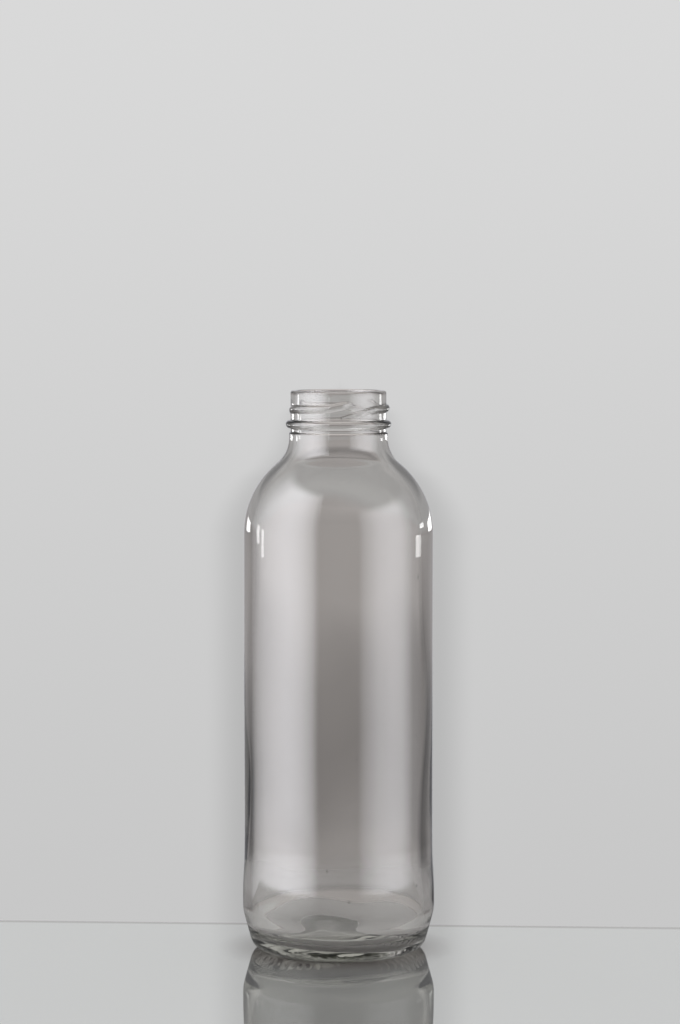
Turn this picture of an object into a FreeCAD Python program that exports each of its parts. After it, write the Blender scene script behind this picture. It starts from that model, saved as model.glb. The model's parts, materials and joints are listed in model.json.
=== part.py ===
import FreeCAD, Part
import math
import os

# Clear glass wide-mouth bottle, moulded in one piece.
# Origin: centre of the ring that the bottle stands on. +Z runs up the axis to the mouth.
# All sizes are in millimetres and degrees.

# Body
overall_height = 257.7
body_diameter = 87.0
body_wall = 4.2

# Heel: a long flare out to a band that stands proud of the body, and a taper down to the standing ring
heel_band_rise = 0.75
heel_band_bottom = 20.5
heel_band_width = 3.0
heel_band_blend = 27.0
heel_blend_radius = 18.0
toe_radius = 6.5
standing_ring_diameter = 68.6
standing_ring_width = 3.2

# Base: hollow under the bottle, glass over it, and the round corner inside
push_up_height = 9.0
base_thickness = 5.3
floor_dome_radius = 46.0
inner_heel_radius = 9.0

# Finish: the part of the neck that takes the closure, with depths measured down from the rim
finish_diameter = 44.0
finish_wall = 3.2
rim_outer_radius = 1.2
rim_inner_radius = 0.8
bead_rise = 2.2
bead_height = 3.7
bead_depth = 15.4

# Neck and shoulder: the neck starts at a small step under the bead, where the two moulds met
neck_step_rise = 0.65
neck_step_height = 0.5
neck_step_depth = 18.9
neck_fillet_radius = 14.0
neck_fillet_depth = 21.9
shoulder_radius = 42.0

# Lugs: interrupted screw ribs, each with a stop at its low end, a land and a lead-in at its high end
lug_count = 3
lug_rise = 1.5
lug_height = 3.6
lug_root_depth = 0.5
lug_stop_angle = 48.0
lug_land_angle = 55.0
lug_lead_angle = 30.0
lug_stop_drop = 3.4
lug_stop_bend = 1.5
lug_land_depth = 8.1
lug_land_rise = 0.5
lug_lead_rise = 2.4
lug_stop_fade_angle = 60.0
lug_lead_fade_angle = 14.0
lug_section_step = 7.0
first_lug_angle = -86.0

# Glass density, for the printed weight
glass_density_g_per_cm3 = 2.5


def point(radius, height):
    """A point of the profile, in the XZ plane."""
    return FreeCAD.Vector(radius, 0, height)


def line(start, end):
    return Part.LineSegment(start, end).toShape()


def arc(start, middle, end):
    return Part.Arc(start, middle, end).toShape()


def arc_about(centre, radius, start, end):
    """The shorter arc about a centre, between two points on its circle."""
    way = (start - centre).normalize() + (end - centre).normalize()
    return arc(start, centre + way.normalize() * radius, end)


def s_curve_joint(first_centre, first_radius, second_centre):
    """The point where two outside-touching circles meet."""
    return first_centre + (second_centre - first_centre).normalize() * first_radius


def outer_tangent(first_centre, first_radius, second_centre, second_radius):
    """The ends of the straight line that lies against two circles on their side away from the axis."""
    across = first_centre.x - second_centre.x
    along = first_centre.z - second_centre.z
    lean = math.acos((second_radius - first_radius) / math.hypot(across, along))
    turn = math.atan2(along, across) + lean
    normal = point(math.cos(turn), math.sin(turn))
    if normal.x < 0:
        turn = math.atan2(along, across) - lean
        normal = point(math.cos(turn), math.sin(turn))
    return first_centre + normal * first_radius, second_centre + normal * second_radius


def neck_and_shoulder(neck_radius, fillet_radius, fillet_height, body_radius, curve_radius):
    """Edges from the neck down to the body: a hollow fillet that runs into a round shoulder.

    Gives the edges and the height where the shoulder meets the straight body.
    """
    fillet_centre = point(neck_radius + fillet_radius, fillet_height)
    reach = fillet_radius + curve_radius
    across = fillet_centre.x - (body_radius - curve_radius)
    shoulder_height = fillet_height - math.sqrt(reach ** 2 - across ** 2)
    shoulder_centre = point(body_radius - curve_radius, shoulder_height)
    joint = s_curve_joint(fillet_centre, fillet_radius, shoulder_centre)
    top = point(neck_radius, fillet_height)
    bottom = point(body_radius, shoulder_height)
    edges = [
        arc_about(fillet_centre, fillet_radius, top, joint),
        arc_about(shoulder_centre, curve_radius, joint, bottom),
    ]
    return edges, shoulder_height


# Sizes that follow from the ones above
body_radius = body_diameter / 2
band_radius = body_radius + heel_band_rise
inner_body_radius = body_radius - body_wall
standing_radius = standing_ring_diameter / 2
push_up_radius = standing_radius - standing_ring_width
floor_height = push_up_height + base_thickness
finish_radius = finish_diameter / 2
bore_radius = finish_radius - finish_wall
neck_radius = finish_radius + neck_step_rise
neck_wall = finish_wall + neck_step_rise
fillet_height = overall_height - neck_fillet_depth


def finish_edges():
    """Outside of the finish, from the rim's land down to the neck."""
    land_edge = point(finish_radius - rim_outer_radius, overall_height)
    rim_centre = land_edge - point(0, rim_outer_radius)
    wall_top = point(finish_radius, overall_height - rim_outer_radius)
    bead_middle = overall_height - bead_depth
    bead_top = point(finish_radius, bead_middle + bead_height / 2)
    bead_crest = point(finish_radius + bead_rise, bead_middle)
    bead_bottom = point(finish_radius, bead_middle - bead_height / 2)
    step_top = point(finish_radius, overall_height - neck_step_depth)
    step_bottom = point(neck_radius, overall_height - neck_step_depth - neck_step_height)
    return [
        arc_about(rim_centre, rim_outer_radius, land_edge, wall_top),
        line(wall_top, bead_top),
        arc(bead_top, bead_crest, bead_bottom),
        line(bead_bottom, step_top),
        line(step_top, step_bottom),
        line(step_bottom, point(neck_radius, fillet_height)),
    ]


def heel_edges():
    """Outside of the heel, from the body down to the standing ring."""
    band_top = heel_band_bottom + heel_band_width
    blend_top = point(body_radius, band_top + heel_band_blend)
    blend_bottom = point(band_radius, band_top)
    blend_middle = (blend_top + blend_bottom) * 0.5
    blend_radius = (heel_band_blend ** 2 + heel_band_rise ** 2) / (4 * heel_band_rise)
    upper_centre = blend_top + point(blend_radius, 0)
    lower_centre = blend_bottom - point(blend_radius, 0)
    taper_centre = point(band_radius - heel_blend_radius, heel_band_bottom)
    toe_centre = point(standing_radius, toe_radius)
    taper_top, taper_bottom = outer_tangent(taper_centre, heel_blend_radius, toe_centre, toe_radius)
    band_bottom = point(band_radius, heel_band_bottom)
    return [
        arc_about(upper_centre, blend_radius, blend_top, blend_middle),
        arc_about(lower_centre, blend_radius, blend_middle, blend_bottom),
        line(blend_bottom, band_bottom),
        arc_about(taper_centre, heel_blend_radius, band_bottom, taper_top),
        line(taper_top, taper_bottom),
        arc_about(toe_centre, toe_radius, taper_bottom, point(standing_radius, 0)),
    ], blend_top


def underside_edges():
    """The standing ring and the hollow inside it."""
    ring_edge = point(push_up_radius, 0)
    dome_radius = (push_up_radius ** 2 + push_up_height ** 2) / (2 * push_up_height)
    dome_centre = point(0, push_up_height - dome_radius)
    dome_top = point(0, push_up_height)
    return [
        line(point(standing_radius, 0), ring_edge),
        arc_about(dome_centre, dome_radius, ring_edge, dome_top),
        line(dome_top, point(0, floor_height)),
    ]


def inside_edges():
    """Inside of the bottle, from the middle of its floor up to the rim's land."""
    heel_centre_radius = inner_body_radius - inner_heel_radius
    dome_centre = point(0, floor_height - floor_dome_radius)
    reach = floor_dome_radius + inner_heel_radius
    heel_centre_height = dome_centre.z + math.sqrt(reach ** 2 - heel_centre_radius ** 2)
    heel_centre = point(heel_centre_radius, heel_centre_height)
    joint = s_curve_joint(dome_centre, floor_dome_radius, heel_centre)
    wall_bottom = point(inner_body_radius, heel_centre_height)
    shoulder, shoulder_height = neck_and_shoulder(
        bore_radius, neck_fillet_radius + neck_wall, fillet_height,
        inner_body_radius, shoulder_radius - body_wall)
    bore_bottom = point(bore_radius, fillet_height)
    bore_top = point(bore_radius, overall_height - rim_inner_radius)
    land_edge = point(bore_radius + rim_inner_radius, overall_height)
    rim_centre = land_edge - point(0, rim_inner_radius)
    return [
        arc_about(dome_centre, floor_dome_radius, point(0, floor_height), joint),
        arc_about(heel_centre, inner_heel_radius, joint, wall_bottom),
        line(wall_bottom, point(inner_body_radius, shoulder_height)),
        shoulder[1],
        shoulder[0],
        line(bore_bottom, bore_top),
        arc_about(rim_centre, rim_inner_radius, bore_top, land_edge),
        line(land_edge, point(finish_radius - rim_outer_radius, overall_height)),
    ]


def turned(edges):
    """A solid of revolution about the bottle's axis from a closed profile."""
    return Part.Face(Part.Wire(edges)).revolve(point(0, 0), point(0, 1), 360)


def bottle_blank():
    """The bottle without its lugs."""
    shoulder, shoulder_height = neck_and_shoulder(
        neck_radius, neck_fillet_radius, fillet_height, body_radius, shoulder_radius)
    heel, body_bottom = heel_edges()
    body = [line(point(body_radius, shoulder_height), body_bottom)]
    return turned(finish_edges() + shoulder + body + heel + underside_edges() + inside_edges())


def lug_depth(angle):
    """Depth of the lug's middle below the rim, at an angle from its low end."""
    stop_left = max(0.0, 1 - angle / lug_stop_angle)
    past_stop = max(0.0, angle - lug_stop_angle)
    past_land = max(0.0, past_stop - lug_land_angle)
    on_land = min(1.0, past_stop / lug_land_angle)
    stop = lug_stop_drop * stop_left ** lug_stop_bend
    lead = lug_lead_rise * past_land / lug_lead_angle
    return lug_land_depth + lug_land_rise * (0.5 - on_land) + stop - lead


def eased(share):
    """A share from 0 to 1 that starts and ends gently, and stays at 1 past the end."""
    share = min(1.0, share)
    return share ** 2 * (3 - 2 * share)


def lug_sink(angle, whole_angle):
    """How far the lug's section sinks into the wall near its two ends."""
    stands = eased(angle / lug_stop_fade_angle) * eased((whole_angle - angle) / lug_lead_fade_angle)
    return (lug_rise + lug_root_depth / 2) * (1 - stands)


def lug_section(angle, whole_angle):
    """The lug's half-round section, standing in the plane at an angle from its low end."""
    depth = overall_height - lug_depth(angle)
    sink = lug_sink(angle, whole_angle)
    root = finish_radius - sink
    back = root - lug_root_depth
    crest = root + lug_rise
    half = lug_height / 2
    wire = Part.Wire([
        line(point(back, depth - half), point(root, depth - half)),
        arc(point(root, depth - half), point(crest, depth), point(root, depth + half)),
        line(point(root, depth + half), point(back, depth + half)),
        line(point(back, depth + half), point(back, depth - half)),
    ])
    wire.rotate(point(0, 0), point(0, 1), angle)
    return wire


def lug():
    """One lug, with its low end at angle 0, rising to the right."""
    whole_angle = lug_stop_angle + lug_land_angle + lug_lead_angle
    steps = math.ceil(whole_angle / lug_section_step)
    sections = [lug_section(whole_angle * step / steps, whole_angle) for step in range(steps + 1)]
    return Part.makeLoft(sections, True, False)


def bottle():
    """The whole bottle: the blank with its lugs standing on the finish."""
    one_lug = lug()
    lugs = []
    for index in range(lug_count):
        copy = one_lug.copy()
        copy.rotate(point(0, 0), point(0, 1), first_lug_angle + index * 360 / lug_count)
        lugs.append(copy)
    return bottle_blank().fuse(lugs).removeSplitter()


def brimful_volume():
    """Volume of the space inside the bottle, filled to the rim."""
    top = point(0, overall_height)
    closing = [
        line(point(finish_radius - rim_outer_radius, overall_height), top),
        line(top, point(0, floor_height)),
    ]
    return turned(inside_edges() + closing).Volume


os.makedirs("parts", exist_ok=True)
glass = bottle()
glass.exportStep("parts/glass_bottle.step")
print("solids", len(glass.Solids), "valid", glass.isValid())
print("glass volume cm3", round(glass.Volume / 1000, 1))
print("weight g", round(glass.Volume / 1000 * glass_density_g_per_cm3))
print("brimful volume ml", round(brimful_volume() / 1000))
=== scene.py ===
import json
import math

import bpy
import numpy as np
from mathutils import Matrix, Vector


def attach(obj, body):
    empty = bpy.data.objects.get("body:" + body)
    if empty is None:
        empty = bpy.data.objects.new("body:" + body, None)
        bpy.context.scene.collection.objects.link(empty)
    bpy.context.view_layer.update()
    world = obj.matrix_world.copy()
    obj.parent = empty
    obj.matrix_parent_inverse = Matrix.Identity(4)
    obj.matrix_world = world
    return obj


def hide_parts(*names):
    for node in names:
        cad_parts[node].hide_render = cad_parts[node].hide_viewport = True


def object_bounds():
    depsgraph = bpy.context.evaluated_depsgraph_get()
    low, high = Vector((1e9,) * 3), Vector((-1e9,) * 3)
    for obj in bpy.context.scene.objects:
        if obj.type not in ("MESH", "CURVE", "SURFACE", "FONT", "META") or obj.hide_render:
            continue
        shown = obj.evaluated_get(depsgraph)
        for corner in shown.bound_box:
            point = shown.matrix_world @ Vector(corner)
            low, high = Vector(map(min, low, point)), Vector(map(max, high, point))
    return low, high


# Clear glass wide-mouth bottle on a pale glossy table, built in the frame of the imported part.
# Sizes of the bottle are in millimetres and degrees, as in the part's source, and its mesh is made in metres.
# Places and sizes of the table, the lamps and the camera are in metres, and their angles in degrees.

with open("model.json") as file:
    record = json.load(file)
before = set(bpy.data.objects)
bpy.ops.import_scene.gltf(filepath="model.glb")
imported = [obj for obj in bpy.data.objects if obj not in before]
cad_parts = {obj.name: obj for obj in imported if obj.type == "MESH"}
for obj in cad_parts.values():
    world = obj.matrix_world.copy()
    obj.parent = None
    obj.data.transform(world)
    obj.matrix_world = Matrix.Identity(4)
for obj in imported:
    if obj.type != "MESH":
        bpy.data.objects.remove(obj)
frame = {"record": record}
cad_low, cad_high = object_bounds()
mounts = {mount["name"]: mount for mount in frame["record"]["mounts"]}
MM = 0.001

# Sizes that the frame gives
overall_height = cad_high.z / MM
bore_radius = mounts["mouth_bore"]["dims"]["r_mm"]
lug_crest_radius = mounts["closure_finish"]["dims"]["r_mm"]

# Body and heel
body_radius = 43.5
body_wall = 4.2
heel_band_rise = 0.75
heel_band_bottom = 20.5
heel_band_width = 3.0
heel_band_blend = 27.0
heel_blend_radius = 18.0
toe_radius = 6.5
standing_radius = 34.3
standing_ring_width = 3.2

# Base
push_up_height = 9.0
base_thickness = 5.3
floor_dome_radius = 46.0
inner_heel_radius = 9.0

# Finish, neck and shoulder, with depths measured down from the rim
finish_radius = 22.0
rim_outer_radius = 1.2
rim_inner_radius = 0.8
bead_rise = 2.2
bead_height = 3.7
bead_depth = 15.4
neck_step_rise = 0.65
neck_step_height = 0.5
neck_step_depth = 18.9
neck_fillet_radius = 14.0
neck_fillet_depth = 21.9
shoulder_radius = 42.0

# Lugs
lug_count = 3
lug_height = 3.6
lug_stop_angle = 48.0
lug_land_angle = 55.0
lug_lead_angle = 30.0
lug_stop_drop = 3.4
lug_stop_bend = 1.5
lug_land_depth = 8.1
lug_land_rise = 0.5
lug_lead_rise = 2.4
lug_stop_fade_angle = 60.0
lug_lead_fade_angle = 14.0
first_lug_angle = -86.0
lug_end_sink = 0.25
lug_root_blend = 0.45

# Raising ribs: how steeply the height falls away beside a rib, and the height that stands for no lug
rib_side_slope = 6.0
no_lug = -1.0

# Mould marks: seams where the mould halves met, and the knurls pressed into the toe and standing ring
seam_angle = -99.5
seam_rise = 0.09
body_seam_rise = 0.03
knurl_count = 60
knurl_depth = 0.2
knurl_bend = 0.35
knurl_start = 0.1
knurl_length = 0.55

# Blown glass: how far the walls and the floor lie from true, in random waves that fade out at their ends.
# A set of waves has a seed, a number of turns round the bottle that each wave stays below, and the shortest
# and longest wave.
wave_count = 14
least_wave_size = 0.3
wave_turn_damping = 0.15
inside_wave = 0.8
inside_wave_set = (7, 8, 60, 200)
inside_fade_below_neck = 40.0
inside_fade_above_floor = 15.0
outside_wave = 0.12
outside_wave_set = (11, 7, 50, 160)
outside_fade_below_neck = 60.0
outside_fade_above_heel = 40.0
floor_hill_shift = 2.5
floor_fold = 0.2
floor_fold_set = (3, 7, 12, 40)
floor_fold_start = 12.0

# Seeds: small bubbles in the wall, each at an angle from the front and a height, with its half width
seed_places = [(-7.0, 43.0, 0.42), (56.0, 33.0, 0.38), (6.5, 29.0, 0.45), (56.0, 102.0, 0.38),
               (57.5, 174.0, 0.45), (35.0, 178.0, 0.32), (170.0, 81.0, 0.36), (-120.0, 128.0, 0.34)]
seed_stretch = 1.8

# Mesh fineness
angle_steps = 240
knurl_steps_per_step = 3
fewest_arc_steps = 3
rim_outer_spacing = 0.24
rim_inner_spacing = 0.2
finish_spacing = 0.16
neck_spacing = 0.64
curve_spacing = 1.5
floor_spacing = 3.0
wall_spacing = 5.0
toe_spacing = 0.7
seed_rows = 6
seed_steps = 10

# Sizes that follow from those above
neck_radius = finish_radius + neck_step_rise
neck_wall = neck_radius - bore_radius
fillet_height = overall_height - neck_fillet_depth
inner_wall_radius = body_radius - body_wall
inner_heel_across = inner_wall_radius - inner_heel_radius
push_up_radius = standing_radius - standing_ring_width
floor_height = push_up_height + base_thickness

# Camera: where it stands, how far it looks down, and its lens and sensor in millimetres
camera_place = (0.0007, -1.450, 0.306)
camera_pitch = 4.107
camera_lens = 111.3
camera_sensor = 36.0


# Profile of the bottle

def straight(start, end, spacing):
    """Points from start towards end, without end."""
    count = max(1, math.ceil((end - start).length / spacing))
    return [start.lerp(end, step / count) for step in range(count)]


def arc(centre, start, end, spacing):
    """Points along the shorter arc about a centre, from start towards end, without end."""
    radius = (start - centre).length
    first = math.atan2(start.y - centre.y, start.x - centre.x)
    last = math.atan2(end.y - centre.y, end.x - centre.x)
    sweep = (last - first + math.pi) % (2 * math.pi) - math.pi
    count = max(fewest_arc_steps, math.ceil(abs(sweep) * radius / spacing))
    angles = [first + sweep * step / count for step in range(count)]
    return [centre + Vector((math.cos(a), math.sin(a))) * radius for a in angles]


def outer_tangent(first_centre, first_radius, second_centre, second_radius):
    """The ends of the straight line that lies against two circles on their side away from the axis."""
    apart = first_centre - second_centre
    lean = math.acos((second_radius - first_radius) / apart.length)
    for turn in (lean, -lean):
        angle = math.atan2(apart.y, apart.x) + turn
        normal = Vector((math.cos(angle), math.sin(angle)))
        if normal.x > 0:
            return first_centre + normal * first_radius, second_centre + normal * second_radius


def neck_and_shoulder(top_radius, fillet_radius, wall_radius, curve_radius):
    """Points from the neck down to the straight wall, without the last one, and that last one."""
    fillet_centre = Vector((top_radius + fillet_radius, fillet_height))
    across = fillet_centre.x - (wall_radius - curve_radius)
    drop = math.sqrt((fillet_radius + curve_radius) ** 2 - across ** 2)
    shoulder_centre = Vector((wall_radius - curve_radius, fillet_height - drop))
    joint = fillet_centre + (shoulder_centre - fillet_centre).normalized() * fillet_radius
    top = Vector((top_radius, fillet_height))
    bottom = Vector((wall_radius, shoulder_centre.y))
    fillet = arc(fillet_centre, top, joint, curve_spacing)
    shoulder = arc(shoulder_centre, joint, bottom, curve_spacing)
    return fillet + shoulder, bottom


def finish_profile():
    """Outside of the finish, from the rim's land to the top of the neck. Bead and lugs are raised later."""
    rim_centre = Vector((finish_radius - rim_outer_radius, overall_height - rim_outer_radius))
    land_edge = Vector((rim_centre.x, overall_height))
    wall_top = Vector((finish_radius, rim_centre.y))
    step_top = Vector((finish_radius, overall_height - neck_step_depth))
    step_bottom = Vector((neck_radius, step_top.y - neck_step_height))
    return (arc(rim_centre, land_edge, wall_top, rim_outer_spacing)
            + straight(wall_top, step_top, finish_spacing)
            + straight(step_top, step_bottom, finish_spacing)
            + straight(step_bottom, Vector((neck_radius, fillet_height)), neck_spacing))


def body_profile():
    """Outside from the neck down to the foot of the heel's taper, and where the toe starts."""
    shoulder, body_top = neck_and_shoulder(neck_radius, neck_fillet_radius, body_radius, shoulder_radius)
    band_radius = body_radius + heel_band_rise
    band_top = heel_band_bottom + heel_band_width
    blend_top = Vector((body_radius, band_top + heel_band_blend))
    blend_bottom = Vector((band_radius, band_top))
    blend_middle = (blend_top + blend_bottom) / 2
    blend_radius = (heel_band_blend ** 2 + heel_band_rise ** 2) / (4 * heel_band_rise)
    upper_centre = blend_top + Vector((blend_radius, 0))
    lower_centre = blend_bottom - Vector((blend_radius, 0))
    band_bottom = Vector((band_radius, heel_band_bottom))
    taper_centre = Vector((band_radius - heel_blend_radius, heel_band_bottom))
    toe_centre = Vector((standing_radius, toe_radius))
    taper_top, taper_bottom = outer_tangent(taper_centre, heel_blend_radius, toe_centre, toe_radius)
    return (shoulder
            + straight(body_top, blend_top, wall_spacing)
            + arc(upper_centre, blend_top, blend_middle, curve_spacing)
            + arc(lower_centre, blend_middle, blend_bottom, curve_spacing)
            + straight(blend_bottom, band_bottom, curve_spacing)
            + arc(taper_centre, band_bottom, taper_top, curve_spacing)
            + straight(taper_top, taper_bottom, curve_spacing)), taper_bottom


def toe_profile(start):
    """The rounded toe and the ring that the bottle stands on."""
    ring_outside = Vector((standing_radius, 0))
    ring_inside = Vector((push_up_radius, 0))
    return (arc(Vector((standing_radius, toe_radius)), start, ring_outside, toe_spacing)
            + straight(ring_outside, ring_inside, toe_spacing))


def underside_profile():
    """The hollow under the base, from the standing ring to the axis."""
    dome_radius = (push_up_radius ** 2 + push_up_height ** 2) / (2 * push_up_height)
    dome_centre = Vector((0, push_up_height - dome_radius))
    return arc(dome_centre, Vector((push_up_radius, 0)), Vector((0, push_up_height)), floor_spacing)


def inside_profile():
    """Inside of the bottle, from the axis at the floor up to the rim's land."""
    dome_centre = Vector((0, floor_height - floor_dome_radius))
    reach = floor_dome_radius + inner_heel_radius
    heel_rise = math.sqrt(reach ** 2 - inner_heel_across ** 2)
    heel_centre = Vector((inner_heel_across, dome_centre.y + heel_rise))
    joint = dome_centre + (heel_centre - dome_centre).normalized() * floor_dome_radius
    wall_bottom = Vector((inner_wall_radius, heel_centre.y))
    shoulder, wall_top = neck_and_shoulder(
        bore_radius, neck_fillet_radius + neck_wall, inner_wall_radius, shoulder_radius - body_wall)
    rim_centre = Vector((bore_radius + rim_inner_radius, overall_height - rim_inner_radius))
    bore_top = Vector((bore_radius, rim_centre.y))
    land_inside = Vector((rim_centre.x, overall_height))
    return (arc(dome_centre, Vector((0, floor_height)), joint, floor_spacing)[1:]
            + arc(heel_centre, joint, wall_bottom, curve_spacing)
            + straight(wall_bottom, wall_top, wall_spacing)
            + [wall_top] + shoulder[:0:-1]
            + straight(Vector((bore_radius, fillet_height)), bore_top, curve_spacing)
            + arc(rim_centre, bore_top, land_inside, rim_inner_spacing)
            + [land_inside])


# What stands out from the turned profile

def smooth_max(a, b, blend):
    """The larger of two heights, with a fillet where they meet."""
    near = np.maximum(blend - np.abs(a - b), 0) / blend
    return np.maximum(a, b) + near ** 2 * blend / 4


def half_round(offset, half, rise):
    """Height of a round rib at an offset from its middle; it falls steeply outside the rib."""
    radius = (half ** 2 + rise ** 2) / (2 * rise)
    inside = np.sqrt(np.maximum(radius ** 2 - offset ** 2, 0))
    outside = np.maximum(np.abs(offset) - radius, 0)
    return inside - (radius - rise) - outside * rib_side_slope


def eased(share):
    """A share that starts and ends gently, and stays at 0 and 1 outside its range."""
    share = np.clip(share, 0, 1)
    return share ** 2 * (3 - 2 * share)


def lug_height_at(angle, depth):
    """Height of the lugs over the finish wall, at angles round the axis and depths below the rim."""
    whole = lug_stop_angle + lug_land_angle + lug_lead_angle
    rise = lug_crest_radius - finish_radius
    height = np.full(np.broadcast(angle, depth).shape, no_lug)
    for index in range(lug_count):
        along = (angle - first_lug_angle - index * 360 / lug_count) % 360
        stop_left = np.maximum(1 - along / lug_stop_angle, 0)
        on_land = np.clip((along - lug_stop_angle) / lug_land_angle, 0, 1)
        on_lead = np.clip((along - lug_stop_angle - lug_land_angle) / lug_lead_angle, 0, None)
        middle = (lug_land_depth + lug_land_rise * (0.5 - on_land)
                  + lug_stop_drop * stop_left ** lug_stop_bend - lug_lead_rise * on_lead)
        stands = eased(along / lug_stop_fade_angle) * eased((whole - along) / lug_lead_fade_angle)
        rib = half_round(depth - middle, lug_height / 2, rise) - (rise + lug_end_sink) * (1 - stands)
        height = np.maximum(height, np.where(along < whole, rib, no_lug))
    return height


def seam(angle, rise):
    """A fine ridge on both sides of the bottle, where the mould halves met."""
    off = np.abs((angle - seam_angle + 90) % 180 - 90)
    width = 360 / angle_steps
    return rise * np.maximum(1 - off / width, 0)


def finish_rise(angle, height):
    """What stands out from the finish wall: the bead, the lugs and the seam of the neck mould."""
    depth = overall_height - height
    bead = half_round(depth - bead_depth, bead_height / 2, bead_rise)
    rise = smooth_max(smooth_max(np.zeros_like(depth + angle), bead, lug_root_blend),
                      lug_height_at(angle, depth), lug_root_blend)
    on_wall = np.clip((depth - rim_outer_radius) / rim_outer_radius, 0, 1)
    return (rise + seam(angle, seam_rise)) * on_wall


def knurl_rise(angle, share):
    """Crescents pressed into the toe and standing ring; share runs from 0 to 1 across them."""
    bend = knurl_bend * (2 * share - 1) ** 2
    phase = angle * knurl_count / 360 + bend
    notch = np.maximum(np.cos(phase * 2 * math.pi), 0) ** 2
    fade = np.sin(np.clip(share, 0, 1) * math.pi)
    return -knurl_depth * notch * fade


def waves(angle, height, seed, turn_limit, shortest, longest):
    """Many long waves that run round and up the bottle, with heights of about 1."""
    draw = np.random.default_rng(seed)
    total = np.zeros_like(angle + height)
    for _ in range(wave_count):
        turns = draw.integers(1, turn_limit)
        length = draw.uniform(shortest, longest)
        start = draw.uniform(0, 2 * math.pi)
        lean = draw.uniform(-1, 1)
        size = draw.uniform(least_wave_size, 1.0) / (1 + wave_turn_damping * turns)
        total += size * np.cos(np.radians(angle) * turns + lean * height / length * 2 * math.pi + start)
    return total / math.sqrt(wave_count)


def body_rise(angle, height):
    """The seam and faint waves on the outside of the body, without waves at the neck and the heel."""
    below_neck = eased((fillet_height - height) / outside_fade_below_neck)
    above_heel = eased((height - heel_band_bottom) / outside_fade_above_heel)
    wander = outside_wave * waves(angle, height, *outside_wave_set)
    return seam(angle, body_seam_rise) + wander * below_neck * above_heel


def inside_wander(angle, height):
    """How far the blown inside lies from a true round: waves on the wall, none in the pressed finish."""
    below_neck = eased((fillet_height - height) / inside_fade_below_neck)
    above_floor = eased((height - floor_height) / inside_fade_above_floor)
    return inside_wave * waves(angle, height, *inside_wave_set) * below_neck * above_floor


def floor_lift(radius, angle):
    """How the floor inside lies out of true: higher on the left than the right, with folds off the axis."""
    turn = np.radians(angle)
    lean = floor_hill_shift * np.sin(np.minimum(radius / floor_dome_radius, 1)) * np.cos(turn - math.pi)
    folds = floor_fold * waves(angle, radius, *floor_fold_set) * eased(radius / floor_fold_start)
    return lean + folds


def no_rise(angle, height):
    """Leaves the turned profile as it is."""
    return np.zeros_like(angle + height)


# Turning the profile into a mesh

def ring_points(profile, steps, rise):
    """Grid of points, one row for each profile point, moved out along the profile's own normal by rise."""
    line = np.array([(p.x, p.y) for p in profile])
    along = np.gradient(line, axis=0)
    along /= np.linalg.norm(along, axis=1, keepdims=True)
    normal = np.stack([-along[:, 1], along[:, 0]], axis=1)
    angle = seam_angle + np.arange(steps) * 360 / steps
    out = rise(angle[None, :], line[:, 1:2]) * np.ones((len(line), steps))
    radius = line[:, :1] + out * normal[:, :1]
    height = line[:, 1:2] + out * normal[:, 1:2]
    turn = np.radians(angle)[None, :]
    return np.stack([radius * np.cos(turn), radius * np.sin(turn), height], axis=2)


class Shell:
    """Collects rows of points and the faces between them."""

    def __init__(self):
        self.points = []
        self.faces = []

    def add_rows(self, grid):
        """Adds rows and gives, for each, its first point number and its count of points."""
        rows, steps, _ = grid.shape
        first = len(self.points)
        self.points.extend(map(tuple, grid.reshape(-1, 3)))
        return [(first + row * steps, steps) for row in range(rows)]

    def add_point(self, point):
        """Adds one point and gives its number."""
        self.points.append(tuple(point))
        return len(self.points) - 1

    def join(self, upper, lower):
        """Faces between two rows; the finer row has a whole number of points for each point of the other."""
        upper_first, upper_steps = upper
        lower_first, lower_steps = lower
        steps = min(upper_steps, lower_steps)
        for step in range(steps):
            top = self.stretch(upper_first, upper_steps, step, upper_steps // steps)
            bottom = self.stretch(lower_first, lower_steps, step, lower_steps // steps)
            self.faces.append(tuple(top[::-1] + bottom))

    @staticmethod
    def stretch(first, count, step, share):
        """Point numbers of one step of a row, from its start to its end."""
        return [first + (step * share + k) % count for k in range(share + 1)]

    def cap(self, row, tip, upwards):
        """A fan of faces from a row to one point."""
        first, steps = row
        for step in range(steps):
            edge = self.stretch(first, steps, step, 1)
            if not upwards:
                edge = edge[::-1]
            self.faces.append((edge[0], edge[1], tip))


def add_seed(shell, angle, height, size):
    """A bubble in the middle of the wall, drawn out along the bottle; its faces look into the bubble."""
    turn = math.radians(angle - 90)
    middle = body_radius - body_wall / 2
    place = Vector((math.cos(turn) * middle, math.sin(turn) * middle, height))
    half_length = size * seed_stretch
    grid = np.zeros((seed_rows - 1, seed_steps, 3))
    for row in range(1, seed_rows):
        fall = math.pi * row / seed_rows
        for step in range(seed_steps):
            side = 2 * math.pi * step / seed_steps
            grid[row - 1, step] = (place.x + size * math.sin(fall) * math.cos(side),
                                   place.y + size * math.sin(fall) * math.sin(side),
                                   place.z + half_length * math.cos(fall))
    start = len(shell.faces)
    bands = shell.add_rows(grid)
    for upper, lower in zip(bands, bands[1:]):
        shell.join(upper, lower)
    shell.cap(bands[0], shell.add_point(place + Vector((0, 0, half_length))), True)
    shell.cap(bands[-1], shell.add_point(place - Vector((0, 0, half_length))), False)
    shell.faces[start:] = [face[::-1] for face in shell.faces[start:]]


def inside_points():
    """The inside of the bottle as a grid of points, with its wandering wall and uneven floor."""
    grid = ring_points(inside_profile(), angle_steps, inside_wander)
    radius = np.hypot(grid[..., 0], grid[..., 1])
    angle = np.degrees(np.arctan2(grid[..., 1], grid[..., 0]))
    share = 1 - eased((radius - inner_heel_across) / inner_heel_radius)
    share *= grid[..., 2] < floor_height + inner_heel_radius
    grid[..., 2] += share * floor_lift(radius, angle)
    return grid


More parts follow.
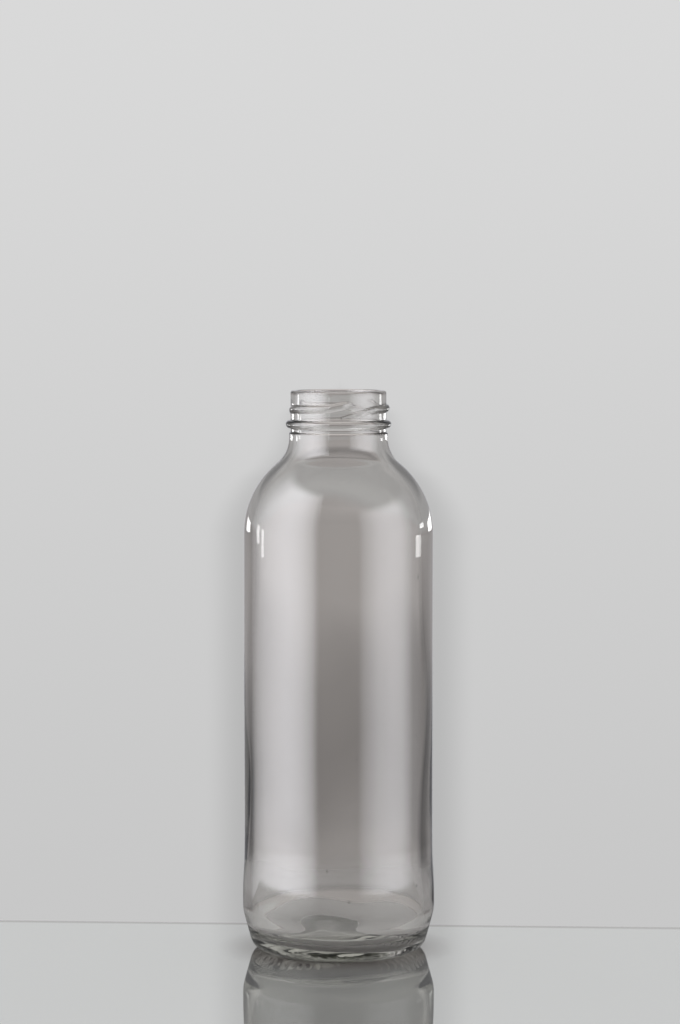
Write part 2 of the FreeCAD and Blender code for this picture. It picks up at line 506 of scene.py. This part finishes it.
def make_bottle():
    """The glass as one mesh: outside, knurled toe, underside, inside and rim, with seeds in its wall."""
    body, toe_start = body_profile()
    toe = toe_profile(toe_start)
    toe_share = np.arange(len(toe))[:, None] / (len(toe) - 1)

    def toe_rise(angle, height):
        """The knurls, which go by the place along the toe's profile and not by its height."""
        return knurl_rise(angle, (toe_share - knurl_start) / knurl_length)

    shell = Shell()
    outside = shell.add_rows(ring_points(finish_profile(), angle_steps, finish_rise))
    outside += shell.add_rows(ring_points(body, angle_steps, body_rise))
    outside += shell.add_rows(ring_points(toe, angle_steps * knurl_steps_per_step, toe_rise))
    outside += shell.add_rows(ring_points(underside_profile(), angle_steps, no_rise))
    inside = shell.add_rows(inside_points())
    for upper, lower in zip(outside, outside[1:]):
        shell.join(upper, lower)
    for lower, upper in zip(inside, inside[1:]):
        shell.join(lower, upper)
    shell.join(inside[-1], outside[0])
    shell.cap(outside[-1], shell.add_point((0, 0, push_up_height)), False)
    shell.cap(inside[0], shell.add_point((0, 0, floor_height)), True)
    for angle, height, size in seed_places:
        add_seed(shell, angle, height, size)

    mesh = bpy.data.meshes.new("clear_bottle")
    mesh.from_pydata([(x * MM, y * MM, z * MM) for x, y, z in shell.points], [], shell.faces)
    mesh.polygons.foreach_set("use_smooth", [True] * len(mesh.polygons))
    mesh.validate()
    piece = bpy.data.objects.new("clear_bottle", mesh)
    bpy.context.scene.collection.objects.link(piece)
    return piece


# Node helpers. A value may be a plain number, a colour or another node's output.

def socket_or_value(tree, socket, value):
    """Links a node's output to an input, or sets a plain value on it."""
    if isinstance(value, bpy.types.NodeSocket):
        tree.links.new(value, socket)
    else:
        socket.default_value = value


def add_math(tree, operation, first, second=0.0):
    """One step of arithmetic with one or two values."""
    node = tree.nodes.new("ShaderNodeMath")
    node.operation = operation
    socket_or_value(tree, node.inputs[0], first)
    socket_or_value(tree, node.inputs[1], second)
    return node.outputs[0]


def add_product(tree, first, *others):
    """The product of two or more values."""
    result = first
    for other in others:
        result = add_math(tree, "MULTIPLY", result, other)
    return result


def add_rest(tree, share):
    """What a share leaves of 1."""
    return add_math(tree, "SUBTRACT", 1.0, share)


def add_at_least(tree, depth, count):
    """1 where a whole-number depth is at least count, and 0 elsewhere."""
    return add_math(tree, "GREATER_THAN", depth, count - 0.5)


def add_map(tree, value, from_low, from_high, to_low, to_high):
    """A smooth step from one range to another, held at both ends."""
    node = tree.nodes.new("ShaderNodeMapRange")
    node.interpolation_type = "SMOOTHSTEP"
    socket_or_value(tree, node.inputs["Value"], value)
    ends = {"From Min": from_low, "From Max": from_high, "To Min": to_low, "To Max": to_high}
    for name, number in ends.items():
        socket_or_value(tree, node.inputs[name], number)
    return node.outputs["Result"]


def add_mix(tree, share, first, second, data_type="FLOAT"):
    """Plain mix of two numbers, or of two values of another type."""
    node = tree.nodes.new("ShaderNodeMix")
    node.data_type = data_type
    socket_or_value(tree, node.inputs["Factor"], share)
    socket_or_value(tree, node.inputs["A"], first)
    socket_or_value(tree, node.inputs["B"], second)
    return node.outputs["Result"]


def add_colour_mix(tree, share, first, second):
    """Plain mix of two colours."""
    return add_mix(tree, share, first, second, "RGBA")


def add_shader_mix(tree, share, first, second):
    """Plain mix of two shaders."""
    node = tree.nodes.new("ShaderNodeMixShader")
    tree.links.new(share, node.inputs["Fac"])
    tree.links.new(first, node.inputs[1])
    tree.links.new(second, node.inputs[2])
    return node.outputs["Shader"]


def add_matt(tree, colour):
    """A matt shader of one colour."""
    node = tree.nodes.new("ShaderNodeBsdfDiffuse")
    socket_or_value(tree, node.inputs["Color"], colour)
    return node.outputs["BSDF"]


def add_clear(tree):
    """A shader that lets all light pass unchanged."""
    return tree.nodes.new("ShaderNodeBsdfTransparent").outputs["BSDF"]


def add_noise(tree, vector, scale, detail):
    """Soft random blotches, from 0 to 1."""
    node = tree.nodes.new("ShaderNodeTexNoise")
    node.inputs["Scale"].default_value = scale
    node.inputs["Detail"].default_value = detail
    tree.links.new(vector, node.inputs["Vector"])
    return node.outputs["Fac"]


def add_stops(tree, degrees, half_range, stops, highest):
    """A level for each angle, as straight runs between stops of (degrees, level)."""
    node = tree.nodes.new("ShaderNodeValToRGB")
    share = add_math(tree, "ADD", add_math(tree, "DIVIDE", degrees, 2 * half_range), 0.5)
    tree.links.new(share, node.inputs["Fac"])
    ramp = node.color_ramp
    while len(ramp.elements) < len(stops):
        ramp.elements.new(1.0)
    for element, (angle, level) in zip(ramp.elements, stops):
        element.position = angle / (2 * half_range) + 0.5
        element.color = (level / highest, level / highest, level / highest, 1)
    return add_product(tree, node.outputs["Color"], highest)


def bare_material(name):
    """A new material without a shader, and its node tree."""
    material = bpy.data.materials.new(name)
    material.use_nodes = True
    tree = material.node_tree
    tree.nodes.remove(tree.nodes["Principled BSDF"])
    return material, tree


# Glass

glass_ior = 1.52
glass_tint_light = (0.99, 0.992, 0.988, 1)
glass_tint_dark = (0.975, 0.978, 0.968, 1)
glass_absorption_colour = (0.90, 0.905, 0.88, 1)
glass_absorption_density = 45.0
glass_bounces = 14
streak_scale = 90.0
streak_detail = 2.0
streak_stretch = (1, 1, 0.3)
ripple_height = 0.000012


def glass_material():
    """Clear flint glass: smooth, with a faint ripple from blowing and a faint olive body colour."""
    material = bpy.data.materials.new("clear_glass")
    material.use_nodes = True
    tree = material.node_tree
    shader = tree.nodes["Principled BSDF"]
    shader.inputs["Transmission Weight"].default_value = 1.0
    shader.inputs["Roughness"].default_value = 0.0
    shader.inputs["IOR"].default_value = glass_ior

    place = tree.nodes.new("ShaderNodeTexCoord").outputs["Object"]
    stretch = tree.nodes.new("ShaderNodeMapping")
    stretch.inputs["Scale"].default_value = streak_stretch
    tree.links.new(place, stretch.inputs["Vector"])
    streaks = add_noise(tree, stretch.outputs["Vector"], streak_scale, streak_detail)
    tint = add_colour_mix(tree, streaks, glass_tint_light, glass_tint_dark)
    tree.links.new(tint, shader.inputs["Base Color"])

    bump = tree.nodes.new("ShaderNodeBump")
    bump.inputs["Strength"].default_value = 1.0
    bump.inputs["Distance"].default_value = ripple_height
    tree.links.new(streaks, bump.inputs["Height"])
    tree.links.new(bump.outputs["Normal"], shader.inputs["Normal"])

    inside = tree.nodes.new("ShaderNodeVolumeAbsorption")
    inside.inputs["Color"].default_value = glass_absorption_colour
    inside.inputs["Density"].default_value = glass_absorption_density
    tree.links.new(inside.outputs["Volume"], tree.nodes["Material Output"].inputs["Volume"])
    return material


# Table: a square top round the axis that fades out towards its ends. Its back edge runs close behind the
# bottle, a little askew, with a thin dark line along it.

table_reach = 0.34
table_fade_start = 0.24
table_drop = 0.0001
sheet_drop = 0.00005
table_back = 0.052
table_back_slope = -0.052
table_edge_width = 0.003
table_edge_shade = 0.22

# Its finish: a matt ground, and a mirror that grows as the view gets lower
table_colour_light = (0.62, 0.62, 0.62, 1)
table_colour_dark = (0.57, 0.57, 0.57, 1)
table_noise_scale = 6.0
table_noise_detail = 3.0
table_gloss_colour = (0.65, 0.66, 0.63, 1)
table_gloss_roughness = 0.02
mirror_start = 0.25
least_mirror_share = 0.04
table_mirror_share = 0.98

# Shade painted on the table: the colour that it darkens towards, and how far a painted contact shadow reaches
# round the foot of the bottle
shade_colour = (0.05, 0.005, 0.0, 1)
contact_start = 0.034
contact_end = 0.058
contact_shade = 0.27

# The table as the glass shows it: darkened by painted shade, and seen past the back edge too, where it fades
# with distance
glass_view_share = 0.38
glass_view_start = 0.12
glass_view_end = 0.22


def table_finish(tree, place, past_glass):
    """The matt ground and the mirror over it. Light that has come through the glass meets no mirror."""
    blotches = add_noise(tree, place, table_noise_scale, table_noise_detail)
    matt = add_matt(tree, add_colour_mix(tree, blotches, table_colour_light, table_colour_dark))
    gloss = tree.nodes.new("ShaderNodeBsdfGlossy")
    gloss.inputs["Color"].default_value = table_gloss_colour
    gloss.inputs["Roughness"].default_value = table_gloss_roughness
    facing = tree.nodes.new("ShaderNodeLayerWeight").outputs["Facing"]
    mirror = add_map(tree, facing, mirror_start, 1.0, least_mirror_share, table_mirror_share)
    return add_shader_mix(tree, add_product(tree, mirror, past_glass), matt, gloss.outputs["BSDF"])


def table_material():
    """Pale glossy table top, clear past its back edge, past its ends and from below."""
    material, tree = bare_material("table_top")
    place = tree.nodes.new("ShaderNodeTexCoord").outputs["Object"]
    light_path = tree.nodes.new("ShaderNodeLightPath")
    through_glass = light_path.outputs["Is Transmission Ray"]
    past_glass = add_rest(tree, through_glass)

    across = tree.nodes.new("ShaderNodeSeparateXYZ")
    tree.links.new(place, across.inputs["Vector"])
    slope = add_product(tree, across.outputs["X"], table_back_slope)
    from_back = add_math(tree, "SUBTRACT", add_math(tree, "SUBTRACT", across.outputs["Y"], slope), table_back)
    length = tree.nodes.new("ShaderNodeVectorMath")
    length.operation = "LENGTH"
    tree.links.new(place, length.inputs[0])
    from_axis = length.outputs["Value"]

    edge_dim = add_map(tree, from_back, -2 * table_edge_width, -table_edge_width, 0, table_edge_shade)
    edge_dim = add_product(tree, edge_dim, past_glass)
    # Painted contact shadow: the table darkens round the foot of the bottle, in the camera's view only
    painted_contact_shadow = add_map(tree, from_axis, contact_start, contact_end, contact_shade, 0)
    painted_contact_shadow = add_product(tree, painted_contact_shadow, light_path.outputs["Is Camera Ray"])
    # Painted shade on the table where the glass shows it
    dim = add_math(tree, "MAXIMUM", add_product(tree, through_glass, glass_view_share), edge_dim)
    dim = add_math(tree, "MAXIMUM", dim, painted_contact_shadow)
    top = table_finish(tree, place, past_glass)
    top = add_shader_mix(tree, dim, top, add_matt(tree, shade_colour))

    from_below = tree.nodes.new("ShaderNodeNewGeometry").outputs["Backfacing"]
    fade = add_map(tree, from_axis, table_fade_start, table_reach, 0, 1)
    fade = add_math(tree, "MAXIMUM", fade, from_below)
    glass_fade = add_map(tree, from_axis, glass_view_start, glass_view_end, 0, 1)
    behind_back = add_product(tree, add_math(tree, "GREATER_THAN", from_back, 0.0),
                              add_math(tree, "MAXIMUM", past_glass, glass_fade))
    fade = add_math(tree, "MAXIMUM", fade, behind_back)
    top = add_shader_mix(tree, fade, top, add_clear(tree))
    tree.links.new(top, tree.nodes["Material Output"].inputs["Surface"])
    return material


def sheet_material():
    """Clear all over."""
    material, tree = bare_material("table_sheet")
    tree.links.new(add_clear(tree), tree.nodes["Material Output"].inputs["Surface"])
    return material


def make_plate(name, material, drop):
    """A flat square round the axis, a little below the standing ring."""
    corners = [(-table_reach, -table_reach, 0), (table_reach, -table_reach, 0),
               (table_reach, table_reach, 0), (-table_reach, table_reach, 0)]
    mesh = bpy.data.meshes.new(name)
    mesh.from_pydata(corners, [], [(0, 1, 2, 3)])
    mesh.materials.append(material)
    plate = bpy.data.objects.new(name, mesh)
    plate.location.z = -drop
    bpy.context.scene.collection.objects.link(plate)


def make_table():
    """The table top, and a clear sheet on it.

    By the sheet the studio tells light off the table from light off the glass.
    """
    make_plate("table_top", table_material(), table_drop)
    make_plate("table_sheet", sheet_material(), sheet_drop)


# Studio: what the surroundings give from each side. Azimuth is 0 straight behind the bottle and grows to the
# right. Azimuth and elevation are in degrees.

azimuth_range = 180
elevation_range = 90
plain_light = 0.85
plain_colour = (1, 1, 1, 1)
glass_shadow_share = 0.8
backdrop_low = 0.57
backdrop_high = 0.70
backdrop_low_elevation = -14.0
backdrop_high_elevation = 8.0

# Light from each side that the glass mirrors: a soft box left and right, the rest dark
reflected_colour = (1.0, 0.998, 1.04, 1)
reflected_stops = [(-180, 0.1), (-156, 0.1), (-147, 4.0), (-134, 7.0), (-118, 8.2), (-102, 7.2), (-84, 5.0),
                   (-62, 1.7), (-48, 0.3), (-16, 0.3), (-12, 0.6), (12, 0.6), (16, 0.3), (56, 0.3), (78, 1.2),
                   (98, 4.8), (113, 5.5), (130, 4.8), (148, 2.0), (156, 0.1), (180, 0.1)]
brightest_box = 9.0
left_box_top = 50.0
right_box_top = 30.0
box_top_softness = 6.0
box_foot_start = -9.6
box_foot_end = -11.0
box_foot_share = 0.45
overhead_light = 0.3
second_reflection_share = 0.4

# What the table mirrors, apart from the bottle: an even, pale backdrop, with the painted shade round the
# bottle
table_mirror_level = 0.92

# Light that comes through the glass: a level for each height, warmer low down, and dark gaps left and right
# of the backdrop, with how far they darken each height
through_colour_low = (1.065, 0.987, 0.967, 1)
through_colour_high = (1.02, 0.99, 0.983, 1)
warm_end = -3.6
warm_start = -2.4
through_stops = [(-90, 0.6), (-28, 0.55), (-16, 0.32), (-14, 0.30), (-11, 0.26), (-8.7, 0.195), (-6.6, 0.235),
                 (-5.8, 0.32), (-4, 0.33), (-3, 0.34), (-2.3, 0.40), (-1.4, 0.40), (0.5, 0.36), (6, 0.36),
                 (27, 0.5), (90, 0.7)]
gap_stops = [(-180, 0), (-78, 0), (-68, 0.7), (-30, 0.7), (-19, 0),
             (19, 0), (30, 0.7), (68, 0.7), (78, 0), (180, 0)]
gap_share_stops = [(-90, 1), (-8.6, 1), (-7, 0.7), (-5.7, 0.5), (-4, 0.35), (-2.5, 0.1), (90, 0)]

# The part of the surroundings straight behind and above, which is darker in a mirrored view through the glass
behind_azimuth_stops = [(-180, 0), (-40, 0), (-25, 1), (25, 1), (40, 0), (180, 0)]
behind_height_stops = [(-90, 0), (6, 0), (9, 1), (20, 1), (27, 0), (90, 0)]
behind_shade = 0.56

# Painted soft shade on the backdrop close round the bottle: how far from the middle it ends at each height
halo_range = 30
halo_stops = [(-30, 0), (-15, 0), (-14, 2.5), (-4.4, 2.5), (-3.9, 2.3), (-3.5, 2.0), (-3.2, 1.6), (-2.8, 1.4),
              (-2.2, 1.2), (-1.8, 0), (9, 0), (10, 2.5), (15, 2.5), (16, 0), (30, 0)]
halo_widest = 3.0
halo_softness = 0.8
halo_shade = 0.2


def box_light(tree, azimuth, elevation):
    """The soft boxes, which end at a top, and dim at their foot."""
    on_right = add_math(tree, "GREATER_THAN", azimuth, 0.0)
    over_box = add_math(tree, "SUBTRACT", elevation, add_mix(tree, on_right, left_box_top, right_box_top))
    overhead = add_map(tree, over_box, -box_top_softness, box_top_softness, 0, 1)
    boxes = add_stops(tree, azimuth, azimuth_range, reflected_stops, brightest_box)
    foot = add_map(tree, elevation, box_foot_end, box_foot_start, box_foot_share, 1.0)
    return add_product(tree, add_mix(tree, overhead, boxes, overhead_light), foot)


def halo_share(tree, azimuth, elevation):
    """The share of light that the painted soft shade round the bottle leaves."""
    ends_at = add_stops(tree, elevation, halo_range, halo_stops, halo_widest)
    from_halo = add_math(tree, "SUBTRACT", add_math(tree, "ABSOLUTE", azimuth), ends_at)
    return add_map(tree, from_halo, -halo_softness, 0, 1 - halo_shade, 1)


def mirrored_light(tree, azimuth, elevation, halo, light_path):
    """What a reflection shows: the boxes, weaker at a second reflection, and a plain level off the table,
    with the painted shade round the bottle.
    """
    twice = add_at_least(tree, light_path.outputs["Glossy Depth"], 2)
    share = add_mix(tree, twice, 1.0, second_reflection_share)
    boxes = add_product(tree, box_light(tree, azimuth, elevation), share)
    passed_sheet = add_at_least(tree, light_path.outputs["Transparent Depth"], 1)
    upwards = add_math(tree, "GREATER_THAN", elevation, 0.0)
    off_table = add_product(tree, passed_sheet, upwards, add_rest(tree, twice))
    return add_mix(tree, off_table, boxes, add_product(tree, halo, table_mirror_level))


def through_light(tree, azimuth, elevation, light_path):
    """What the glass lets through: a level for each height, with the dark gaps and the dark part behind."""
    gap = add_product(tree, add_stops(tree, azimuth, azimuth_range, gap_stops, 1.0),
                      add_stops(tree, elevation, elevation_range, gap_share_stops, 1.0))
    behind = add_product(tree, add_stops(tree, azimuth, azimuth_range, behind_azimuth_stops, 1.0),
                         add_stops(tree, elevation, elevation_range, behind_height_stops, 1.0))
    mirrored = add_at_least(tree, light_path.outputs["Glossy Depth"], 1)
    behind_dim = add_product(tree, behind, mirrored, behind_shade)
    level = add_stops(tree, elevation, elevation_range, through_stops, 1.0)
    return add_product(tree, level, add_rest(tree, gap), add_rest(tree, behind_dim))


def make_studio():
    """World light: plain for matt surfaces, soft boxes for reflections, and a pale backdrop."""
    world = bpy.data.worlds.new("studio")
    bpy.context.scene.world = world
    world.use_nodes = True
    tree = world.node_tree
    direction = tree.nodes.new("ShaderNodeSeparateXYZ")
    tree.links.new(tree.nodes.new("ShaderNodeTexCoord").outputs["Generated"], direction.inputs["Vector"])
    azimuth = add_math(tree, "ARCTAN2", direction.outputs["X"], direction.outputs["Y"])
    azimuth = add_math(tree, "DEGREES", azimuth)
    elevation = add_math(tree, "DEGREES", add_math(tree, "ARCSINE", direction.outputs["Z"]))
    light_path = tree.nodes.new("ShaderNodeLightPath")
    glossy = light_path.outputs["Is Glossy Ray"]
    through_glass = light_path.outputs["Is Transmission Ray"]

    halo = halo_share(tree, azimuth, elevation)
    backdrop = add_map(tree, elevation, backdrop_low_elevation, backdrop_high_elevation,
                       backdrop_low, backdrop_high)
    # Painted soft shade on the backdrop round the bottle's outline
    backdrop = add_product(tree, backdrop, halo)
    reflected = mirrored_light(tree, azimuth, elevation, halo, light_path)
    through = through_light(tree, azimuth, elevation, light_path)
    matt_light = add_mix(tree, through_glass, plain_light, plain_light * glass_shadow_share)
    from_matt = add_at_least(tree, light_path.outputs["Diffuse Depth"], 1)

    level = add_mix(tree, glossy, plain_light, reflected)
    level = add_mix(tree, through_glass, level, through)
    level = add_mix(tree, from_matt, level, matt_light)
    level = add_mix(tree, light_path.outputs["Is Camera Ray"], level, backdrop)
    warm = add_map(tree, elevation, warm_end, warm_start, 1, 0)
    through_colour = add_colour_mix(tree, warm, through_colour_high, through_colour_low)
    colour = add_colour_mix(tree, glossy, plain_colour, reflected_colour)
    colour = add_colour_mix(tree, through_glass, colour, through_colour)
    tree.links.new(level, tree.nodes["Background"].inputs["Strength"])
    tree.links.new(colour, tree.nodes["Background"].inputs["Color"])


# Small lamps behind the bottle that show only as bright spots in its reflections.
# Each has an azimuth in degrees, then distance, height, width and length in metres, then its light level.

lamps = {
    "left_lamp": (-77.5, 0.70, 0.172, 0.060, 0.092, 7.5),
    "left_strip_lamp": (-68.0, 0.70, 0.190, 0.075, 0.104, 7.5),
    "right_lamp": (69.0, 0.70, 0.142, 0.140, 0.034, 8.0),
    "right_strip_lamp": (60.0, 0.70, 0.224, 0.120, 0.036, 7.0),
    "left_rim_lamp": (-39.0, 0.80, 0.187, 0.210, 0.070, 7.0),
    "right_rim_lamp": (32.0, 0.80, 0.185, 0.300, 0.065, 7.0),
}
lamp_spread = math.radians(28.0)


def make_lamps():
    """Narrow lamps aimed level at the axis, each with the energy that gives its level at this spread."""
    half_spread = lamp_spread / 2
    for name, (azimuth, distance, height, width, length, level) in lamps.items():
        turn = math.radians(azimuth)
        light = bpy.data.lights.new(name, "AREA")
        light.shape = "RECTANGLE"
        light.size = width
        light.size_y = length
        light.spread = lamp_spread
        light.energy = level * math.pi * width * length * (1 - half_spread / math.tan(half_spread))
        lamp = bpy.data.objects.new(name, light)
        lamp.location = (distance * math.sin(turn), distance * math.cos(turn), height)
        aim = Vector((0, 0, height)) - lamp.location
        lamp.rotation_mode = "QUATERNION"
        lamp.rotation_quaternion = aim.to_track_quat("-Z", "Y")
        lamp.visible_camera = False
        lamp.visible_diffuse = False
        lamp.visible_transmission = False
        bpy.context.scene.collection.objects.link(lamp)


def make_camera():
    """The camera at the photo's viewing angle."""
    camera = bpy.data.cameras.new("camera")
    camera.lens = camera_lens
    camera.sensor_width = camera_sensor
    holder = bpy.data.objects.new("camera", camera)
    holder.location = camera_place
    holder.rotation_euler = (math.radians(90 - camera_pitch), 0, 0)
    bpy.context.scene.collection.objects.link(holder)
    bpy.context.scene.camera = holder


def allow_glass_bounces():
    """The thick base sends light back and forth more often than the usual limits allow."""
    cycles = bpy.context.scene.cycles
    cycles.max_bounces = glass_bounces
    cycles.glossy_bounces = glass_bounces
    cycles.transmission_bounces = glass_bounces


bottle = make_bottle()
bottle.data.materials.append(glass_material())
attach(bottle, "root")
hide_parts("glass_bottle")
make_table()
make_studio()
make_lamps()
make_camera()
allow_glass_bounces()
bpy.context.scene.view_settings.view_transform = "Standard"
